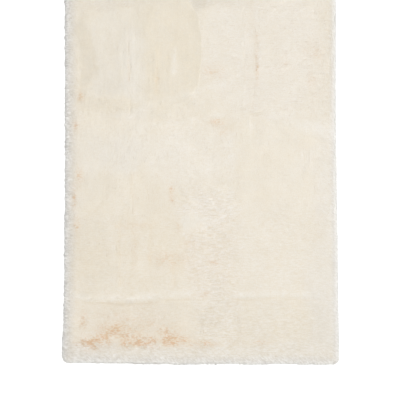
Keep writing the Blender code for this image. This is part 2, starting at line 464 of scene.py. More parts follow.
RIM = 0.004  # the fur is at its coolest this far inside the outline, and its painted rim shade is darkest this far outside it
EDGE_COOL = 0.060  # how far in from the edge the fur can turn cool
COOL_REACH = RoundEdge(0.78, -0.16, 0.0)  # how far it does, as a share of that
COOL_FADE = 1.2  # the power by which it fades inwards
EDGE_PAINTED_LIGHT = RoundEdge(0.15, 0.20, 0.15)  # painted light and shade: the tone of cool fur, lighter on the right edge, which faces the light, and darker on the left
COOLNESS = RoundEdge(1.0, 0.0, -0.12)
PAINTED_RIM_SHADE = RoundEdge(1.15, -0.40, 0.6)  # painted shade: how much deeper the tone is at the rim, most on the near and left edges, which face away from the light
RIM_SHADE_FADE = 0.008  # over this width the painted rim shade fades

BED_DROP = 0.0076  # from the pile's ends down to where its roots crowd together
BED_EDGE = 0.0105  # how far inside the outline the crowded roots end
BED_ROUND = 0.022  # how far they take to round off
BED_FOOT = 0.003  # the height that its side comes down to
BED_BARE = 0.0015  # how far the bed sinks where the pile has opened
BED_STEEP = 1.5  # the power by which the roots turn outwards on the rounded side
BED_OUT = 0.85  # how far they do


def openness(x, y):
    """How open the pile is at each place, ragged round each bare patch."""
    ragged = bumps(x, y, *OPENING)
    most = np.zeros_like(x)
    for patch in BARE_PATCHES:
        away = ((x - patch.x) / patch.reach_x) ** 2 + ((y - patch.y) / patch.reach_y) ** 2
        most = np.maximum(most, patch.strength * np.exp(-away) * (1 + ragged))
    return most.clip(0, 1)


def laid_pile(heading, lie, comb, tone, warmth):
    """How pile lies that was stroked one way, as a column of six numbers."""
    turn = math.radians(heading)
    return np.array([[math.cos(turn), math.sin(turn), lie, comb, tone, warmth]]).T


def rows_and_columns(comb):
    """How far the pile is combed in rows, and how far in columns."""
    return np.clip(comb, 0, 1), np.clip(-comb, 0, 1)


class Nap:
    """How the pile lies, what its colour does and how open it is, at every given place."""

    def __init__(self, form, x, y):
        self.inset = form.inset(x, y)
        self.out = form.outward(x, y)
        kept = 1 - RIGHT_BRUSHED * np.clip(self.out[:, 0], 0.0, 1.0)
        self.turned = MOST_TURNED * kept * (1 - smooth(self.inset, TURNED_FULLY, EDGE_TURN))
        self.wild = self.turned * WILD.at(self.out)
        self.brush(x, y)
        self.mottle(x, y)
        self.ruffle(x, y)
        self.draw_lines(x, y)
        self.bare = openness(x, y)
        self.tone += self.bare * bumps(x, y, BARE_TONE)
        self.turn_at_edges(x, y)

    def brush(self, x, y):
        """Lays the pile as each patch has it, its border a little ragged."""
        ragged_x, ragged_y = bumps(x, y, *BORDER_ACROSS), bumps(x, y, *BORDER_ALONG)
        pile = laid_pile(**USUAL_PILE) + np.zeros_like(x)
        for patch in NAP_PATCHES:
            power = 2 * patch.square
            ragged = min(patch.soft / RAGGED_SOFT, 1.0)
            across = np.abs(x + ragged * ragged_x - patch.x) / patch.reach_x
            along = np.abs(y + ragged * ragged_y - patch.y) / patch.reach_y
            away = (across**power + along**power) ** (1 / power)
            share = 1 - smooth(away, 1 - patch.soft, 1 + patch.soft)
            stroked = laid_pile(patch.heading, patch.lie, patch.comb, patch.tone, patch.warmth)
            pile += share * (stroked - pile)
        way_x, way_y, self.lie, self.comb, self.tone, self.warmth = pile
        stray = bumps(x, y, *STRAY)
        self.way = unit(np.stack([way_x - stray * way_y, way_y + stray * way_x, np.zeros_like(x)], axis=-1))

    def mottle(self, x, y):
        """Cloudy differences in tone, and streaks of painted light and shade between locks in rows or
        columns as the pile was combed.
        """
        rows, columns = rows_and_columns(self.comb)
        self.tone += bumps(x, y, *CLOUDS)
        # streaks of painted light and shade between locks
        self.tone += (ANY_CHANGE + ROW_CHANGE * rows) * bumps(x, y, ROW_PAINTED_SHADE)
        self.tone += (ANY_CHANGE + COLUMN_CHANGE * columns) * bumps(x, y, COLUMN_PAINTED_SHADE)
        self.warmth += bumps(x, y, *WARM_CLOUDS)

    def ruffle(self, x, y):
        """Soft lumps over the whole rug, and low waves where the pile was combed in rows or columns."""
        steps = ((-1, 0), (1, 0), (0, -1), (0, 1), (0, 0))
        left, right, near, far, here = (
            self.waves(x + WAVE_STEP * across, y + WAVE_STEP * along) for across, along in steps
        )
        slopes = (right - left) / (2 * WAVE_STEP), (far - near) / (2 * WAVE_STEP), np.zeros_like(x)
        self.slope = np.stack(slopes, axis=-1)
        self.sunk = -here

    def waves(self, x, y):
        rows, columns = rows_and_columns(self.comb)
        lumps = bumps(x, y, *LUMPS) + self.wild * bumps(x, y, WILD_LUMPS)
        return lumps + (rows * bumps(x, y, ROW_WAVES) + columns * bumps(x, y, COLUMN_WAVES))

    def draw_lines(self, x, y):
        """Sinks or raises the pile along each line, paints shade into the sunk ones and light onto the
        raised ones, and pushes it aside where it has parted.
        """
        shifted = bumps(x, y, LINE_SHIFT)
        shown = LINE_SHOWS + bumps(x, y, LINE_BREAK)
        for line in PILE_LINES:
            run_x, run_y = line.to_x - line.from_x, line.to_y - line.from_y
            length = math.hypot(run_x, run_y)
            run_x, run_y = run_x / length, run_y / length
            along = (x - line.from_x) * run_x + (y - line.from_y) * run_y
            aside = (y - line.from_y) * run_x - (x - line.from_x) * run_y + shifted
            within = smooth(along, -LINE_END, LINE_END)
            within = within * (1 - smooth(along, length - LINE_END, length + LINE_END))
            held = shown * within * np.exp(-((aside / line.reach) ** 2))
            across = np.array([-run_y, run_x, 0.0])
            self.sunk += line.depth * held
            # painted shade along sunk lines, painted light along raised ones
            self.tone += line.tone * held
            self.warmth += line.warmth * held
            self.slope += (2 * line.depth * aside / line.reach**2 * held)[:, None] * across
            if line.depth > 0:
                push = PARTING * line.depth * held * np.tanh(aside / (PARTING_WIDTH * line.reach))
                self.way = self.way + push[:, None] * across

    def turn_at_edges(self, x, y):
        """Turns the fur outwards near the edges, where it's also more tousled and streaked on the slant with
        painted light and shade.
        """
        turned = self.turned
        self.tone += self.wild * bumps(x, y, WILD_TONE)
        self.comb = self.comb * (1 - turned) + turned * np.clip(-self.out[:, 0], 0.0, 1.0) ** 2
        slanting = 1 - smooth(self.inset, SLANT_FULL, SLANT_END)
        self.slant = slanting * (1 - SIDE_EVEN * np.abs(self.out[:, 0]))
        tousle = self.wild * bumps(x, y, *WILD_TURN)
        sideways = np.stack([-self.out[:, 1], self.out[:, 0], 0 * x], axis=-1)
        self.way = self.way * (1 - turned)[:, None] + self.out * turned[:, None] + sideways * tousle[:, None]


def edge_colour(form, x, y, tone, warmth):
    """The tone and warmth of fur that ends here, cooler near the edges, with painted shade at the rim and
    painted light and shade by the side it faces.
    """
    inset, out = form.inset(x, y), form.outward(x, y)
    reach = EDGE_COOL * COOL_REACH.at(out)
    cool = np.clip(1 - (inset - RIM) / reach, 0.0, 1.0) ** COOL_FADE
    # painted shade on the fur that hangs over the rim, deepest where the edge faces away from the light
    rim_shade = np.exp(-np.maximum(inset + RIM, 0.0) / RIM_SHADE_FADE)
    # the edge fur's tone is painted light and shade by the side it faces, and painted shade at the rim
    tone = tone * (1 - cool) + EDGE_PAINTED_LIGHT.at(out) * cool - PAINTED_RIM_SHADE.at(out) * rim_shade
    return tone, warmth * (1 - cool) - COOLNESS.at(out) * cool


def bed_place(form, nap, x, y):
    """Where the roots stand on the crowded bed, which way is up out of it, and how near the edge it is."""
    share = np.clip((nap.inset - BED_EDGE) / BED_ROUND, 0.0, 1.0)
    full = form.top(x, y) - BED_DROP - nap.sunk - BED_BARE * nap.bare
    height = BED_FOOT + (full - BED_FOOT) * np.sqrt(np.maximum(1 - (1 - share) ** 2, 0.0))
    edge = (1 - share) ** BED_STEEP
    up = unit(nap.out * edge[:, None] + UP * np.sqrt(1 - BED_OUT * edge**2)[:, None] - nap.slope)
    return np.stack([x, y, height], axis=-1), up, edge


# -------- Locks --------

DRIFT_SIZE = 0.045  # of the bumps by which the borders of locks wander
DRIFT_DRAW = 100  # what the second drift adds to a lock's own draw
LOOSE_DRAW = 200  # what the straying of its middle adds
LOOSE = 0.28  # how far a lock's middle strays, as a share of its room
UNLIKE = (7919, 104729)  # two primes, which give neighbouring locks unlike numbers
TUFT_SHARE = 0.45  # the share of turned fur that leans into tufts


def lock_middle(x, y, size):
    """How far each place leans to the middle of its lock, the lock's number, and how near its side it is."""
    drift_x = bumps(x, y, Bumps(size.wander, DRIFT_SIZE, DRIFT_SIZE, size.seed))
    drift_y = bumps(x, y, Bumps(size.wander, DRIFT_SIZE, DRIFT_SIZE, size.seed + DRIFT_DRAW))
    row = np.floor((y + drift_y) / size.along).astype(int)
    column = np.floor((x + drift_x) / size.across + 0.5 * (row % 2)).astype(int)
    chance = np.random.default_rng(size.seed + LOOSE_DRAW)
    loose = chance.uniform(-LOOSE, LOOSE, (NOISE_CELLS, NOISE_CELLS, 2))
    loose = loose[row % NOISE_CELLS, column % NOISE_CELLS]
    middle_x = (column + 0.5 - 0.5 * (row % 2) + loose[:, 0]) * size.across - drift_x
    middle_y = (row + 0.5 + loose[:, 1]) * size.along - drift_y
    away = np.hypot((x - middle_x) / size.across, (y - middle_y) / size.along).clip(0.0, 1.0)
    number = (row * UNLIKE[0] + column * UNLIKE[1]) % NOISE_CELLS
    return (middle_x - x) * size.lean_across, (middle_y - y) * size.lean_along, number, away


def own_lock(x, y, nap, pick):
    """The lock that each wisp leans into: a fine one, one in a row or column, or a tuft near the edge."""
    sizes = (FINE_LOCKS, ROW_LOCKS, COLUMN_LOCKS, TUFT_LOCKS)
    locks = [np.stack(lock_middle(x, y, size)) for size in sizes]
    rows, columns = rows_and_columns(nap.comb)
    own = np.where(pick < rows, locks[1], np.where(pick < columns, locks[2], locks[0]))
    return np.where(1 - pick < TUFT_SHARE * nap.turned, locks[3], own)


# -------- Meshes --------


def new_piece(name, points, corners, starts):
    """A mesh piece from arrays of points, corner numbers and where each face starts."""
    mesh = bpy.data.meshes.new(name)
    mesh.vertices.add(len(points))
    mesh.loops.add(len(corners))
    mesh.polygons.add(len(starts))
    mesh.vertices.foreach_set("co", np.ascontiguousarray(points, np.float32).ravel())
    mesh.loops.foreach_set("vertex_index", np.ascontiguousarray(corners, np.int32))
    mesh.polygons.foreach_set("loop_start", np.ascontiguousarray(starts, np.int32))
    mesh.update(calc_edges=True)
    mesh.shade_smooth()
    piece = bpy.data.objects.new(name, mesh)
    bpy.context.scene.collection.objects.link(piece)
    return piece


def set_numbers(piece, numbers):
    """Gives each point of the piece its own numbers, for the material to read."""
    for name, values in numbers.items():
        attribute = piece.data.attributes.new(name, "FLOAT", "POINT")
        attribute.data.foreach_set("value", np.ascontiguousarray(values, np.float32))


EVEN = 0.5  # the number for no tone and no warmth, as the pile's points carry them


def coded(value, own=0.0):
    """A tone or a warmth as a number from 0 to 1, with what a wisp adds of its own."""
    return (EVEN + EVEN * value + own).clip(0, 1)


WISP_POINTS = 5  # two at its root, two at its knee and one at its tip
WISP_CORNERS = np.array([0, 1, 3, 2, 2, 3, 4])  # of its quad and its triangle
WISP_STARTS = np.array([0, 4])
WISP_ALONG = (0.0, 0.0, 0.5, 0.5, 1.0)
WISP_CELL = np.array([(0.15, 0.10), (0.85, 0.10), (0.20, 0.50), (0.80, 0.50), (0.50, 0.90)])  # its UV cell
WISP_WAIST = 0.85  # its width at its knee, as a share of the width at its root


def wisps(name, roots, knees, tips, sides, widths, normals):
    """Flat tapered wisps of pile, each rising from its root to its knee and lying over to its tip."""
    half = sides * (widths / 2)[:, None]
    waist = WISP_WAIST * half
    points = np.stack([roots - half, roots + half, knees - waist, knees + waist, tips], axis=1)
    count = len(roots)
    corners = np.arange(count)[:, None] * WISP_POINTS + WISP_CORNERS
    starts = np.arange(count)[:, None] * len(WISP_CORNERS) + WISP_STARTS
    piece = new_piece(name, points.reshape(-1, 3), corners.ravel(), starts.ravel())
    piece.data.normals_split_custom_set_from_vertices(np.repeat(normals, WISP_POINTS, axis=0))
    across = math.ceil(math.sqrt(count))
    cells = np.stack([np.arange(count) % across, np.arange(count) // across], axis=-1)
    flat = (cells[:, None] + WISP_CELL[WISP_CORNERS]) / across
    layer = piece.data.uv_layers.new(name="OFBake")
    layer.uv.foreach_set("vector", flat.astype(np.float32).ravel())
    return piece


SOFTNESS = 0.93  # how far a wisp is shaded as part of its lock, and not as a strip of its own
DOME = 0.12  # how far the shading of a lock rounds off at its sides
TUFT_DOME = 0.20  # the same for the tufts near the edges, on top of that
DOME_REACH = 0.006  # how far out from its middle a lock's shading rounds off
KNEE = 0.48  # where along its reach a wisp turns over
DROOP = 0.13  # how far its tip hangs below its knee, as a share of its rise
TIP_CLEAR = 0.0012  # over the floor
KNEE_CLEAR = 0.0020
BARE_THINNED = 0.45  # the share of wisps left out where the pile is fully open
COLUMN_ORDER = 0.20  # how far locks in columns hold together, against those in rows
LEAST_ORDER = 0.12  # how far the wisps of a loose lock hold together
GATHERED = 1.6  # how far the wisps of a whole lock lean in, against the setting
STRAY_LEAN = 0.0005  # how far each wisp leans its own way
TWIST = 0.12  # how far a wisp is turned out of flat
LOCK_DRAWS = (71, 72)  # of each lock's own tone and rise

# How much the rise, the sweep and the width of wisps differ, as shares of each
LOCK_RISE = 0.14  # from lock to lock
TUFT_RISE = 0.06  # from tuft to tuft in tousled fur, on top of that
OWN_RISE = 0.03  # from wisp to wisp
LOCK_ROUND = 0.20  # how much lower a lock is at its sides
BARE_RISE = 0.35  # how much lower the pile is where it has opened
OWN_SWEEP = 0.2
TURNED_SWEEP = 0.1  # how much less the sweep differs in turned fur
EDGE_HELD = 0.12  # how much shorter the edge fur sweeps
EDGE_FALL = 0.20  # how much further it then falls
OWN_WIDTH = (0.75, 1.25)
EDGE_WIDTH = 0.25  # how much wider the wisps of the edge fur are
FLAT_WIDTH = 0.8  # how much wider wisps are that were stroked flatter than FLAT_LIE
FLAT_LIE = 0.9

# How much the tone and warmth of wisps differ, in smooth pile and then what tousled fur adds
LOCK_TONE = (0.02, 0.18)
OWN_TONE = (0.02, 0.11)
OWN_WARMTH = 0.02


def pile_piece(name, form, x, y, settings, seed):
    """Grows a wisp from each place, lying as the nap there does and leaning together in locks."""
    chance = np.random.default_rng(seed)
    kept = chance.random(len(x)) > BARE_THINNED * openness(x, y)
    x, y = x[kept], y[kept]
    nap = Nap(form, x, y)
    count = len(x)
    roots, up, edge = bed_place(form, nap, x, y)
    lean_x, lean_y, number, away = own_lock(x, y, nap, chance.random(count))
    tables = (np.random.default_rng(draw).uniform(-1, 1, NOISE_CELLS) for draw in LOCK_DRAWS)
    lock_tone, lock_rise = (table[number.astype(int)] for table in tables)

    held = np.maximum.reduce([nap.comb, -COLUMN_ORDER * nap.comb, nap.turned, nap.bare])
    ordered = LEAST_ORDER + (1 - LEAST_ORDER) * held
    rise = 1 + (LOCK_RISE * ordered + TUFT_RISE * nap.wild) * lock_rise - LOCK_ROUND * ordered * away**2
    rise = settings.rise * (rise + OWN_RISE * chance.uniform(-1, 1, count))
    rise *= 1 - BARE_RISE * nap.bare + edge * nap.wild * bumps(x, y, WILD_RISE)
    gather = np.stack([lean_x, lean_y, np.zeros(count)], axis=-1)
    lean = gather * (settings.gather * GATHERED * ordered)[:, None]
    lean += chance.normal(size=(count, 3)) * STRAY_LEAN
    sweep = 1 + (OWN_SWEEP - TURNED_SWEEP * nap.turned) * chance.uniform(-1, 1, count)
    sweep *= settings.sweep * nap.lie * (1 - EDGE_HELD * edge)
    sweep *= 1 + EDGE_FALL * edge + edge * nap.wild * bumps(x, y, WILD_SWEEP)
    lying = unit(nap.way - up * (nap.way * up).sum(axis=1)[:, None])
    reach = lying * sweep[:, None] + lean
    knees = roots + up * rise[:, None] + KNEE * reach
    tips = roots + up * (rise * (1 - DROOP))[:, None] + reach
    tips[:, 2] = np.maximum(tips[:, 2], TIP_CLEAR)
    knees[:, 2] = np.maximum(knees[:, 2], KNEE_CLEAR)

    facing = unit(np.cross(unit(reach), up))
    sides = unit(facing + chance.normal(size=count)[:, None] * TWIST * up)
    widths = settings.width * chance.uniform(*OWN_WIDTH, count)
    widths *= 1 + EDGE_WIDTH * edge + FLAT_WIDTH * (nap.lie - FLAT_LIE).clip(0, 1)
    own = unit(np.cross(sides, unit(reach)))
    own *= np.where((own * up).sum(axis=1) < 0, -1.0, 1.0)[:, None]
    rounded = up - gather / DOME_REACH * (DOME * ordered + TUFT_DOME * nap.turned)[:, None]
    normals = unit(unit(rounded) * SOFTNESS + own * (1 - SOFTNESS))
    piece = wisps(name, roots, knees, tips, sides, widths, normals)

    own_tone = (LOCK_TONE[0] + LOCK_TONE[1] * nap.wild) * lock_tone
    own_tone += (OWN_TONE[0] + OWN_TONE[1] * nap.wild) * chance.normal(size=count)
    own_warmth = OWN_WARMTH * chance.normal(size=count)
    numbers = {"along": np.tile(WISP_ALONG, count)}
    numbers["comb"] = np.repeat(nap.comb, WISP_POINTS)
    numbers["slant"] = np.repeat(nap.slant, WISP_POINTS)
    colours = []
    for x, y, _ in (roots.T, knees.T, tips.T):
        tone, warmth = edge_colour(form, x, y, nap.tone, nap.warmth)
        colours.append([coded(tone, own_tone), coded(warmth, own_warmth), openness(x, y)])
    for label, root, knee, tip in zip(("tone", "warmth", "bare"), *colours):
        numbers[label] = np.stack([root, root, knee, knee, tip], axis=1).ravel()
    set_numbers(piece, numbers)
    return piece


LOOSE_SET = (0.1, 0.9)  # where a root can stand in its own cell


def scattered(low_x, high_x, low_y, high_y, spacing, seed):
    """Places all over the rectangle, one in each cell of a grid and loosely set there."""
    chance = np.random.default_rng(seed)
    x, y = np.meshgrid(np.arange(low_x, high_x, spacing), np.arange(low_y, high_y, spacing))
    return [side.ravel() + spacing * chance.uniform(*LOOSE_SET, side.size) for side in (x, y)]


# -------- Materials --------


def new_node(tree, kind, output, inputs, **choices):
    """The output of a new node with these choices, its inputs linked to sockets or given values."""
    node = tree.nodes.new(kind)
    for name, choice in choices.items():
        setattr(node, name, choice)
    for label, value in inputs.items():
        if isinstance(value, bpy.types.NodeSocket):
            tree.links.new(value, node.inputs[label])
        else:
            node.inputs[label].default_value = value
    return node.outputs[output]


def blend(tree, share, first, second, mode="MIX"):
    inputs = {"Factor": share, 6: first, 7: second}  # the colour inputs share their names with others
    return new_node(tree, "ShaderNodeMix", 2, inputs, data_type="RGBA", blend_type=mode)


def arithmetic(tree, operation, first, second):
    return new_node(tree, "ShaderNodeMath", 0, {0: first, 1: second}, operation=operation)


def ranged(tree, value, given=(0.0, 1.0), made=(0.0, 1.0)):
    """A value between the two given numbers, taken to between the two made ones."""
    limits = dict(zip(("From Min", "From Max", "To Min", "To Max"), (*given, *made)))
    return new_node(tree, "ShaderNodeMapRange", "Result", {"Value": value, **limits})


def attribute_socket(tree, name):
    return new_node(tree, "ShaderNodeAttribute", "Fac", {}, attribute_name=name)


def new_group(name, inputs, output):
    """A shader node group with these inputs and one output, and its two end nodes."""
    group = bpy.data.node_groups.new(name, "ShaderNodeTree")
    for label, kind in inputs:
        group.interface.new_socket(name=label, in_out="INPUT", socket_type=kind)
    group.interface.new_socket(name=output[0], in_out="OUTPUT", socket_type=output[1])
    return group, group.nodes.new("NodeGroupInput"), group.nodes.new("NodeGroupOutput")


COLOURS = ("Light", "Deep", "Tan", "Cool", "Edge_Shade", "Root")
WISP_NUMBERS = ("Along", "Tone", "Warmth", "Bare")
GRAIN_NUMBERS = ("Streak", "Speckle")
TAN_MOST = 0.6  # how tan the warmest pile is
ROOT_DEPTH = 0.60  # painted shade deep in the pile: the share of its tone that a wisp has at its root
FULL_TONE = 0.55  # how far along the wisp it has all of it
ROOT_SHOWS = 0.24  # how much of the root's colour a wisp has at its root
ROOT_END = 0.9  # how far along the wisp it has none
BARE_TICKS = 0.14  # how many more ticks of peach show where the pile is open
TICK_GRAIN = (0.54, 0.63)  # where in the speckle a tick starts, and where it is whole
TICK_BARE = (0.04, 0.60)  # how open the pile is where ticks start to show, and where they show most
TICK_MOST = 0.55  # how much of the root's colour a tick then has
BARE_ROOT = 0.18  # how much of the root's colour open pile has all over


def pile_colour_group():
    """Turns the pile's own numbers into its colour, from deep roots to light ends. The deeper tone towards
    the roots and the grey that the edge fur darkens to are painted shade.
    """
    sockets = [(label, "NodeSocketColor") for label in COLOURS]
    sockets += [(label, "NodeSocketFloat") for label in WISP_NUMBERS + GRAIN_NUMBERS]
    tree, given, result = new_group("pile_colour", sockets, ("Colour", "NodeSocketColor"))
    light, deep, tan, cool, edge_shade, root = (given.outputs[label] for label in COLOURS)
    along, tone, warmth, bare = (given.outputs[label] for label in WISP_NUMBERS)
    streak, speckle = (given.outputs[label] for label in GRAIN_NUMBERS)
    warmed = blend(tree, ranged(tree, warmth, (EVEN, 1.0), (0.0, TAN_MOST)), light, tan)
    # painted shade: wisps are deeper towards their roots
    depth = ranged(tree, along, (0.0, FULL_TONE), (ROOT_DEPTH, 1.0))
    streaked = arithmetic(tree, "MULTIPLY", arithmetic(tree, "ADD", tone, streak), depth)
    darker = ranged(tree, streaked, made=(1.0, 0.0))
    ivory = blend(tree, darker, warmed, deep, mode="MULTIPLY")
    rooted = blend(tree, ranged(tree, along, (0.0, ROOT_END), (ROOT_SHOWS, 0.0)), ivory, root)
    # the edge fur, darkened towards the painted shade tint as its tone falls
    shaded_edge = blend(tree, darker, cool, edge_shade, mode="MULTIPLY")
    cooled = blend(tree, ranged(tree, warmth, (EVEN, 0.0)), rooted, shaded_edge)
    crowded = arithmetic(tree, "ADD", speckle, arithmetic(tree, "MULTIPLY", bare, BARE_TICKS))
    shown = ranged(tree, bare, TICK_BARE, (0.0, TICK_MOST))
    ticks = arithmetic(tree, "MULTIPLY", ranged(tree, crowded, TICK_GRAIN), shown)
    opened = arithmetic(tree, "ADD", ticks, arithmetic(tree, "MULTIPLY", bare, BARE_ROOT))
    tree.links.new(blend(tree, opened, cooled, root), result.inputs["Colour"])
    return tree


EVEN_GRAIN = Grain(220.0, (1.0, 1.0, 1.0))
SPECKLE_GRAIN = Grain(78.0, (1.0, 2.3, 1.0))
ROW_GRAIN = Grain(60.0, (1.0, 3.4, 1.0))
COLUMN_GRAIN = Grain(120.0, (1.0, 0.16, 1.0))
SLANT_GRAIN = Grain(62.0, (1.0, 3.0, 1.0), turn=0.7)
KNIT_GRAIN = Grain(160.0, (1.0, 0.4, 1.0))
GRAIN_DETAIL = 3.0
MOST_GRAIN = (0.3, 0.7)  # where most of the grain lies
WHOLE_GRAIN = (0.2, 0.8)


def fibre_grain_group():
    """A fine uneven grain over the rug's own coordinates, for tone and roughness."""
    if "fibre_grain" in bpy.data.node_groups:
        return bpy.data.node_groups["fibre_grain"]
    sockets = [("Size", "NodeSocketFloat"), ("Stretch", "NodeSocketVector"), ("Turn", "NodeSocketFloat")]
    tree, given, result = new_group("fibre_grain", sockets, ("Mask", "NodeSocketFloat"))
    size, stretch, turn = (given.outputs[label] for label, _ in sockets)
    place = new_node(tree, "ShaderNodeTexCoord", "Object", {})
    turned = {"Vector": place, "Angle": turn}
    turned = new_node(tree, "ShaderNodeVectorRotate", 0, turned, rotation_type="Z_AXIS")
    stretched = new_node(tree, "ShaderNodeVectorMath", 0, {0: turned, 1: stretch}, operation="MULTIPLY")
    noise = {"Vector": stretched, "Scale": size, "Detail": GRAIN_DETAIL}
    tree.links.new(new_node(tree, "ShaderNodeTexNoise", "Fac", noise), result.inputs["Mask"])
    return tree


def grain_socket(tree, grain):
    values = {"Size": grain.size, "Stretch": grain.stretch, "Turn": grain.turn}
    return new_node(tree, "ShaderNodeGroup", "Mask", values, node_tree=fibre_grain_group())


def streaks(tree, number, most, strength, grain):
    """Streaks of painted light and shade between locks in this grain, at their full strength where the
    wisps' number is at its most.
    """
    share = ranged(tree, number, (0.0, most), (0.0, strength))
    streaked = ranged(tree, grain_socket(tree, grain), MOST_GRAIN, (-1.0, 1.0))
    return arithmetic(tree, "MULTIPLY", share, streaked)


SHINE = 0.15  # how much the surfaces mirror
SHEEN_SPREAD = 0.6
PILE_SHEEN = 0.15
KNIT_SHEEN = 0.1
# the strength of the streaks of painted light and shade between locks in rows, in columns and on the slant
ROW_STREAKS = 0.42
COLUMN_STREAKS = 0.28
SLANT_STREAKS = 0.40
GRAIN_DEEP = 0.3  # how much of the deep tint the lowest grain of the pile has
PILE_ROUGH = (0.85, 1.0)
KNIT_ROUGH = (0.8, 0.98)
FLOOR_ROUGH = 0.9
LET_THROUGH = 0.45  # the share of the light that a thin wisp lets through, and doesn't send back
RIBS = {"Scale": 90.0, "Distortion": 1.2, "Detail Scale": 3.0}
RIB_RELIEF = {"Strength": 0.5, "Distance": 0.0006}
RIB_DEEP = 0.45  # how much of the shade there is between the ribs
KNIT_SHADE = 0.72  # the shade's colour, against the knit's own
KNIT_WORN = (0.35, 0.75)  # where in the grain the knit turns a little darker
KNIT_WEAR = 0.35  # how much of the shade it then has


def soft_surface(name, sheen):
    """A new soft matt material, its node tree and its surface node."""
    material = bpy.data.materials.new(name)
    material.use_nodes = True
    surface = material.node_tree.nodes["Principled BSDF"]
    surface.inputs["Metallic"].default_value = 0.0
    surface.inputs["Specular IOR Level"].default_value = SHINE
    surface.inputs["Sheen Weight"].default_value = sheen
    surface.inputs["Sheen Roughness"].default_value = SHEEN_SPREAD
    return material, material.node_tree, surface


def pile_material(settings):
    """Ivory fibre with peach roots, read from the numbers that each wisp carries."""
    if "ivory_fibre" in bpy.data.materials:
        return bpy.data.materials["ivory_fibre"]
    material, tree, surface = soft_surface("ivory_fibre", PILE_SHEEN)
    comb, slant = attribute_socket(tree, "comb"), attribute_socket(tree, "slant")
    rows = streaks(tree, comb, 1.0, ROW_STREAKS, ROW_GRAIN)
    columns = streaks(tree, comb, -1.0, COLUMN_STREAKS, COLUMN_GRAIN)
    slanted = streaks(tree, slant, 1.0, SLANT_STREAKS, SLANT_GRAIN)
    given = {label: (*getattr(settings, label.lower()), 1.0) for label in COLOURS}
    given.update({label: attribute_socket(tree, label.lower()) for label in WISP_NUMBERS})
    given["Streak"] = arithmetic(tree, "ADD", arithmetic(tree, "ADD", rows, columns), slanted)
    given["Speckle"] = grain_socket(tree, SPECKLE_GRAIN)
    colour = new_node(tree, "ShaderNodeGroup", "Colour", given, node_tree=pile_colour_group())
    grain = grain_socket(tree, EVEN_GRAIN)
    deepened = ranged(tree, grain, MOST_GRAIN, (GRAIN_DEEP, 0.0))
    speckled = blend(tree, deepened, colour, given["Deep"], mode="MULTIPLY")
    tree.links.new(speckled, surface.inputs["Base Color"])
    tree.links.new(ranged(tree, grain, WHOLE_GRAIN, PILE_ROUGH), surface.inputs["Roughness"])
    through = new_node(tree, "ShaderNodeBsdfTranslucent", 0, {"Color": speckled})
    thin = {"Fac": LET_THROUGH, 1: surface.outputs[0], 2: through}
    thin = new_node(tree, "ShaderNodeMixShader", 0, thin)
    tree.links.new(thin, tree.nodes["Material Output"].inputs["Surface"])
    return material


def knit_material(settings):
    """A plain knitted back, with fine ribs along the rug."""
    material, tree, surface = soft_surface("knitted_back", KNIT_SHEEN)
    ribs = {"Vector": new_node(tree, "ShaderNodeTexCoord", "Object", {}), **RIBS}
    ribs = new_node(tree, "ShaderNodeTexWave", "Fac", ribs, wave_type="BANDS", bands_direction="X")
    grain = grain_socket(tree, KNIT_GRAIN)
    plain = (*settings.colour, 1.0)
    darker = (*(KNIT_SHADE * value for value in settings.colour), 1.0)
    ribbed = blend(tree, ranged(tree, ribs, made=(RIB_DEEP, 0.0)), plain, darker)
    worn = blend(tree, ranged(tree, grain, KNIT_WORN, (0.0, KNIT_WEAR)), ribbed, darker)
    tree.links.new(worn, surface.inputs["Base Color"])
    tree.links.new(ranged(tree, grain, WHOLE_GRAIN, KNIT_ROUGH), surface.inputs["Roughness"])
    relief = new_node(tree, "ShaderNodeBump", "Normal", {"Height": ribs, **RIB_RELIEF})
    tree.links.new(relief, surface.inputs["Normal"])
    return material


def floor_material(settings):
    material, _, surface = soft_surface("pale_floor", sheen=0.0)
    surface.inputs["Base Color"].default_value = (*settings.floor, 1.0)
    surface.inputs["Roughness"].default_value = FLOOR_ROUGH
    return material


# -------- Pieces --------

BED_GRID = (170, 242)  # cells across the rug and along it
CLOTH_GRID = (48, 68)
LEAST_CORNER = 0.004  # the smallest radius of a grid's corners
EDGE_FOLLOWED = 3  # the power by which a grid takes up the rug's uneven outline towards its edge
BED_ALONG = 0.30  # how far along a wisp the bed's colour is taken, with the painted shade of that depth
BED_DOME = 0.0010  # how far the bed rises in the middle of a lock, and sinks at its sides
BED_WHOLE = 0.03  # how far in from the outline it does so fully


def deselect():
    for thing in bpy.context.selected_objects:
        thing.select_set(False)


def settle(piece, material, *nodes):
    """Gives the piece its finish and lets it move with the rug."""
    piece.data.materials.clear()
    piece.data.materials.append(material)
    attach(piece, BODY)
    if nodes:
        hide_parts(*nodes)


def rug_grid(name, cells, form, margin, height_at):
    """A fine grid over the rug, its outer line on the rug's outline less the margin."""
    deselect()
    across, along = cells
    bpy.ops.mesh.primitive_grid_add(x_subdivisions=across, y_subdivisions=along, size=2.0,
                                    location=(0.0, 0.0, 0.0))
    grid = bpy.context.object
    grid.name = grid.data.name = name
    u, v, _ = mesh_places(grid).T
    x, y = rounded_place(u, v, form, margin)
    places = np.stack([x, y, height_at(x, y)], axis=-1).astype(np.float32)
    grid.data.vertices.foreach_set("co", places.ravel())
    return grid


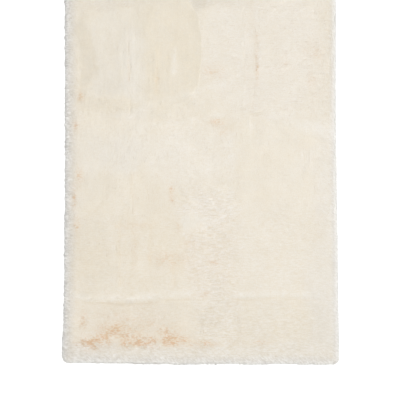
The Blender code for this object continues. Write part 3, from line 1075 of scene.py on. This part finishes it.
def rounded_place(u, v, form, margin):
    """Takes places on a square from -1 to 1 to the rug's outline less the margin, its corners rounded."""
    half_x, half_y = form.high[0] - margin, form.high[1] - margin
    radius = max(CORNER_RADIUS - margin, LEAST_CORNER)
    x, y = u * half_x, v * half_y
    over_x, over_y = np.abs(x) - (half_x - radius), np.abs(y) - (half_y - radius)
    corner = (over_x > 0) & (over_y > 0)
    reach = np.hypot(over_x, over_y)
    square = np.maximum(np.abs(over_x), np.abs(over_y))
    share = np.where(corner & (reach > 0), square / np.maximum(reach, TINY), 1.0)
    x = np.where(corner, np.sign(x) * (half_x - radius + over_x * share), x)
    y = np.where(corner, np.sign(y) * (half_y - radius + over_y * share), y)
    left, right = np.interp(y, *form.left), np.interp(y, *form.right)
    near, far = np.interp(x, *form.near), np.interp(x, *form.far)
    edge_x = np.where(x < 0, -left, right) - form.high[0]
    edge_y = np.where(y < 0, -near, far) - form.high[1]
    moved_x = x + np.sign(x) * edge_x * np.abs(u) ** EDGE_FOLLOWED
    moved_y = y + np.sign(y) * edge_y * np.abs(v) ** EDGE_FOLLOWED
    return moved_x, moved_y


def close_below(slab):
    """Closes the grid that was added last with a flat face under it, all its faces pointing out."""
    bpy.ops.object.mode_set(mode="EDIT")
    bpy.ops.mesh.select_all(action="DESELECT")
    bpy.ops.mesh.select_mode(type="EDGE")
    bpy.ops.mesh.select_non_manifold(extend=False, use_wire=False, use_boundary=True, use_multi_face=False,
                                     use_non_contiguous=False, use_verts=False)
    bpy.ops.mesh.extrude_region_move()
    bpy.ops.transform.resize(value=(1.0, 1.0, 0.0))
    bpy.ops.mesh.edge_face_add()
    bpy.ops.mesh.select_all(action="SELECT")
    bpy.ops.mesh.normals_make_consistent(inside=False)
    bpy.ops.object.mode_set(mode="OBJECT")
    # Its rim is so low that its inside can pass for its outside. The first face is one of the grid's own.
    if slab.data.polygons[0].normal.z < 0:
        slab.data.flip_normals()


class RUG_OT_ground_cloth(bpy.types.Operator):
    """Make the thin knitted cloth that the pile grows from"""

    bl_idname = "rug.ground_cloth"
    bl_label = "Ground Cloth"

    def execute(self, context):
        settings = context.scene.rug_cloth
        form = RugForm(RUG_NODE)
        cloth = rug_grid("ground_cloth", CLOTH_GRID, form, settings.margin, lambda x, y: np.zeros_like(x))
        thick = cloth.modifiers.new("thickness", "SOLIDIFY")
        thick.thickness = settings.thickness
        thick.offset = 1.0
        bpy.ops.object.modifier_apply(modifier=thick.name)
        settle(cloth, knit_material(settings), "rug")
        width, length = (2 * (side - settings.margin) for side in form.high[:2])
        return {"FINISHED"}


class RUG_OT_pile_bed(bpy.types.Operator):
    """Make the bed where the pile's roots crowd together, under the part that can be brushed"""

    bl_idname = "rug.pile_bed"
    bl_label = "Pile Bed"

    def execute(self, context):
        form = RugForm(RUG_NODE)

        def height_at(x, y):
            nap = Nap(form, x, y)
            places, _, _ = bed_place(form, nap, x, y)
            _, _, _, away = lock_middle(x, y, FINE_LOCKS)
            return places[:, 2] + BED_DOME * (1 - 2 * away**2) * smooth(nap.inset, BED_EDGE, BED_WHOLE)

        bed = rug_grid("pile_bed", BED_GRID, form, BED_EDGE, height_at)
        close_below(bed)
        x, y, _ = mesh_places(bed).T
        nap = Nap(form, x, y)
        tone, warmth = edge_colour(form, x, y, nap.tone, nap.warmth)
        set_numbers(bed, {
            "along": np.full(len(x), BED_ALONG), "tone": coded(tone), "warmth": coded(warmth),
            "bare": nap.bare, "comb": nap.comb, "slant": nap.slant,
        })
        bpy.ops.object.shade_smooth()
        settle(bed, pile_material(context.scene.rug_pile))
        return {"FINISHED"}


FIELD_START = BED_EDGE + 0.8 * BED_ROUND  # how far inside the outline the brushed pile starts
EDGE_WIDE = 0.85 * BED_ROUND  # how wide a border of the bed the edge fur grows from
EDGE_CROWDED = 1.6  # the power by which it crowds towards the outline
PLACE_DRAW = 300  # the draws of the first length, and one more for each of the others
WISP_DRAW = 400
EDGE_PLACE_DRAW = 500
EDGE_WISP_DRAW = 501
STRIPS = 4  # the brushed pile is made in this many lengths, one piece each


class RUG_OT_pile_field(bpy.types.Operator):
    """Grow the brushed pile over the middle of the rug, in lengths"""

    bl_idname = "rug.pile_field"
    bl_label = "Brushed Pile"

    def execute(self, context):
        settings = context.scene.rug_pile
        form = RugForm(RUG_NODE)
        material = pile_material(settings)
        strip = (form.high[1] - form.low[1]) / STRIPS
        for number in range(STRIPS):
            low = form.low[1] + number * strip
            sides = (form.low[0], form.high[0], low, low + strip)
            x, y = scattered(*sides, settings.spacing, PLACE_DRAW + number)
            keep = form.inset(x, y) > FIELD_START
            name = f"pile_field_{number + 1}"
            piece = pile_piece(name, form, x[keep], y[keep], settings, WISP_DRAW + number)
            settle(piece, material)
        return {"FINISHED"}


class RUG_OT_pile_edge(bpy.types.Operator):
    """Grow the fur that falls over the rug's edges"""

    bl_idname = "rug.pile_edge"
    bl_label = "Edge Fur"

    def execute(self, context):
        settings = context.scene.rug_pile
        form = RugForm(RUG_NODE)
        sides = (form.low[0], form.high[0], form.low[1], form.high[1])
        x, y = scattered(*sides, settings.crowd, EDGE_PLACE_DRAW)
        inset = form.inset(x, y)
        keep = (inset > BED_EDGE) & (inset < BED_EDGE + EDGE_WIDE)
        x, y, share = x[keep], y[keep], (inset[keep] - BED_EDGE) / EDGE_WIDE
        shift = (share - share**EDGE_CROWDED) * EDGE_WIDE
        out = form.outward(x, y)
        x, y = x + out[:, 0] * shift, y + out[:, 1] * shift
        piece = pile_piece("pile_edge", form, x, y, settings, EDGE_WISP_DRAW)
        settle(piece, pile_material(settings))
        return {"FINISHED"}


# -------- Stage and add-on --------

FLOOR_SIZE = 14.0
FLOOR_DROP = 0.0003  # under the ground cloth, so that the two don't share a plane
SOFTBOX_PLACE = (2.0, 1.2, 4.2)
SOFTBOX_SIZE = 3.2
FOCAL_LENGTH = 50.0
LOOK_AT = (-0.003, -0.139, 0.0)  # where the middle of the view meets the rug


class RUG_OT_stage(bpy.types.Operator):
    """Set the pale floor, the soft light and the camera"""

    bl_idname = "rug.stage"
    bl_label = "Stage"

    def execute(self, context):
        settings = context.scene.rug_stage
        deselect()
        bpy.ops.mesh.primitive_plane_add(size=FLOOR_SIZE, location=(0.0, 0.0, -FLOOR_DROP))
        floor = context.object
        floor.name = "floor"
        floor.data.materials.append(floor_material(settings))
        world = bpy.data.worlds.new("studio")
        world.use_nodes = True
        sky = world.node_tree.nodes["Background"]
        sky.inputs["Color"].default_value = (1.0, 1.0, 1.0, 1.0)
        sky.inputs["Strength"].default_value = settings.sky
        context.scene.world = world
        bpy.ops.object.light_add(type="AREA", location=SOFTBOX_PLACE)
        lamp = context.object
        lamp.name = "softbox"
        lamp.data.energy = settings.softbox
        lamp.data.size = SOFTBOX_SIZE
        lamp.visible_camera = False
        aim = -lamp.location
        lamp.rotation_euler = aim.to_track_quat("-Z", "Y").to_euler()
        self.camera(context, settings)
        context.scene.view_settings.view_transform = "Standard"
        return {"FINISHED"}

    def camera(self, context, settings):
        data = bpy.data.cameras.new("camera")
        data.lens = FOCAL_LENGTH
        camera = bpy.data.objects.new("camera", data)
        camera.location = (
            LOOK_AT[0],
            LOOK_AT[1] - settings.height * math.sin(settings.tilt),
            LOOK_AT[2] + settings.height * math.cos(settings.tilt),
        )
        camera.rotation_euler = (settings.tilt, 0.0, 0.0)
        context.scene.collection.objects.link(camera)
        context.scene.camera = camera


class RUG_PT_panel(bpy.types.Panel):
    """The rug's pieces and their settings, in the 3D view's sidebar"""

    bl_label = "Shag Rug"
    bl_idname = "RUG_PT_panel"
    bl_space_type = "VIEW_3D"
    bl_region_type = "UI"
    bl_category = "Shag Rug"

    def draw(self, context):
        for operator in OPERATORS:
            self.layout.operator(operator.bl_idname)
        for settings in (context.scene.rug_pile, context.scene.rug_cloth, context.scene.rug_stage):
            box = self.layout.box()
            for name in settings.__annotations__:
                box.prop(settings, name)


SETTINGS = {"rug_pile": RugPileSettings, "rug_cloth": RugClothSettings, "rug_stage": RugStageSettings}
OPERATORS = (RUG_OT_pile_bed, RUG_OT_pile_field, RUG_OT_pile_edge, RUG_OT_ground_cloth, RUG_OT_stage)


def register():
    for settings in SETTINGS.values():
        bpy.utils.register_class(settings)
    for name, settings in SETTINGS.items():
        setattr(bpy.types.Scene, name, bpy.props.PointerProperty(type=settings))
    for operator in OPERATORS:
        bpy.utils.register_class(operator)
    bpy.utils.register_class(RUG_PT_panel)


def unregister():
    bpy.utils.unregister_class(RUG_PT_panel)
    for operator in reversed(OPERATORS):
        bpy.utils.unregister_class(operator)
    for name in SETTINGS:
        delattr(bpy.types.Scene, name)
    for settings in reversed(SETTINGS.values()):
        bpy.utils.unregister_class(settings)


def main():
    register()
    bpy.ops.rug.pile_bed()
    bpy.ops.rug.pile_field()
    bpy.ops.rug.pile_edge()
    bpy.ops.rug.ground_cloth()
    bpy.ops.rug.stage()


if __name__ == "__main__":
    main()
